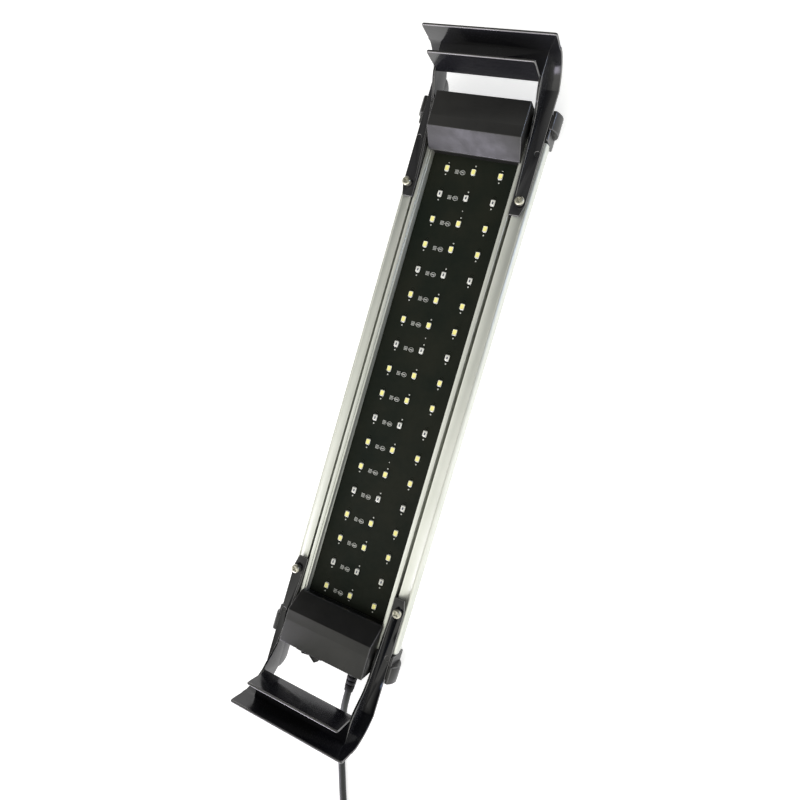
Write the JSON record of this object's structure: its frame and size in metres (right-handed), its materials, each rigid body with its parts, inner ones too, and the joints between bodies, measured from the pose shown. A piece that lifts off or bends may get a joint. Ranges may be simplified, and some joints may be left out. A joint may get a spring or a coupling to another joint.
{
  "type": "led aquarium light",
  "caption": "Flat bar light with LED rows on a black board in an aluminium extrusion, end caps, a rocker switch, a cord and two sliding brackets that hang on a tank rim.",
  "frame": {"origin": "centre of the flat back of the housing, which rests on a surface", "axes": "+Z the way the LEDs face, +Y along the lamp away from the cord, +X across it"},
  "size_m": [0.1175, 0.5877, 0.0536],
  "materials": {
    "aluminium": "satin anodised extrusion",
    "tape": "white thermal tape",
    "black_board": "black solder mask",
    "led_white": "white package with yellow phosphor",
    "led_blue": "white package with clear lens",
    "chip": "ceramic chip",
    "black_plastic": "moulded black plastic, satin gloss",
    "bracket_plastic": "moulded black plastic, glossy",
    "seal": "soft black seal",
    "screw_steel": "nickel-plated steel",
    "brass": "turned brass",
    "switch_plastic": "black switch plastic",
    "driver_board": "green board",
    "driver_parts": "electronic parts",
    "nylon": "natural nylon",
    "lead_wire": "insulated wire",
    "cord_rubber": "soft black sleeve",
    "cord_sheath": "black flexible sheath",
    "tie": "soft black strap",
    "plug_plastic": "moulded black plug",
    "blade_metal": "plated blades"
  },
  "bodies": {
    "lamp": {"blue_leds": "led_blue", "cord_coil": "cord_sheath", "cord_tie": "tie", "cover_screws_cord_end": "screw_steel", "cover_screws_top": "screw_steel", "driver_board": "driver_board", "driver_leads": "lead_wire", "driver_parts": "driver_parts", "driver_standoffs": "nylon", "end_cover_cord_end": "black_plastic", "end_cover_top": "black_plastic", "gasket_cord_end": "seal", "gasket_top": "seal", "hood_cord_end": "black_plastic", "hood_top": "black_plastic", "housing": "aluminium", "led_board": "black_board", "plug_blades": "blade_metal", "plug_body": "plug_plastic", "plug_lead": "cord_sheath", "power_cord": "cord_sheath", "resistors": "chip", "strain_relief": "cord_rubber", "switch_body": "switch_plastic", "switch_terminals": "brass", "thermal_tape": "tape", "white_leds": "led_white"},
    "top_bracket": {"bracket_top": "bracket_plastic", "lock_inserts_top": "screw_steel"},
    "bottom_bracket": {"bracket_bottom": "bracket_plastic", "lock_inserts_bottom": "screw_steel"},
    "rocker": {"switch_rocker": "switch_plastic"},
    "screw_top_left": {"lock_screw_top_left": "screw_steel"},
    "screw_top_right": {"lock_screw_top_right": "screw_steel"},
    "screw_bottom_left": {"lock_screw_bottom_left": "screw_steel"},
    "screw_bottom_right": {"lock_screw_bottom_right": "screw_steel"}
  },
  "joints": [
    {"name": "top_bracket_slide", "type": "slide", "parent": "lamp", "child": "top_bracket", "axis": [0, 1, 0], "range_m": [-0.01, 0.034]},
    {"name": "bottom_bracket_slide", "type": "slide", "parent": "lamp", "child": "bottom_bracket", "axis": [0, -1, 0], "range_m": [-0.021, 0.023]},
    {"name": "switch_tilt", "type": "hinge", "parent": "lamp", "child": "rocker", "pos_m": [-0.0086, -0.1806, 0.0226], "axis": [0, 0, 1], "range_deg": [0, 24]},
    {"name": "screw_top_left_turn", "type": "hinge", "parent": "top_bracket", "child": "screw_top_left", "pos_m": [-0.0375, 0.1256, 0.0227], "axis": [0, 0, 1], "range_deg": [0, 720]},
    {"name": "screw_top_right_turn", "type": "hinge", "parent": "top_bracket", "child": "screw_top_right", "pos_m": [0.0375, 0.1256, 0.0227], "axis": [0, 0, 1], "range_deg": [0, 720]},
    {"name": "screw_bottom_left_turn", "type": "hinge", "parent": "bottom_bracket", "child": "screw_bottom_left", "pos_m": [-0.0375, -0.1366, 0.0227], "axis": [0, 0, 1], "range_deg": [0, 720]},
    {"name": "screw_bottom_right_turn", "type": "hinge", "parent": "bottom_bracket", "child": "screw_bottom_right", "pos_m": [0.0375, -0.1366, 0.0227], "axis": [0, 0, 1], "range_deg": [0, 720]}
  ]
}
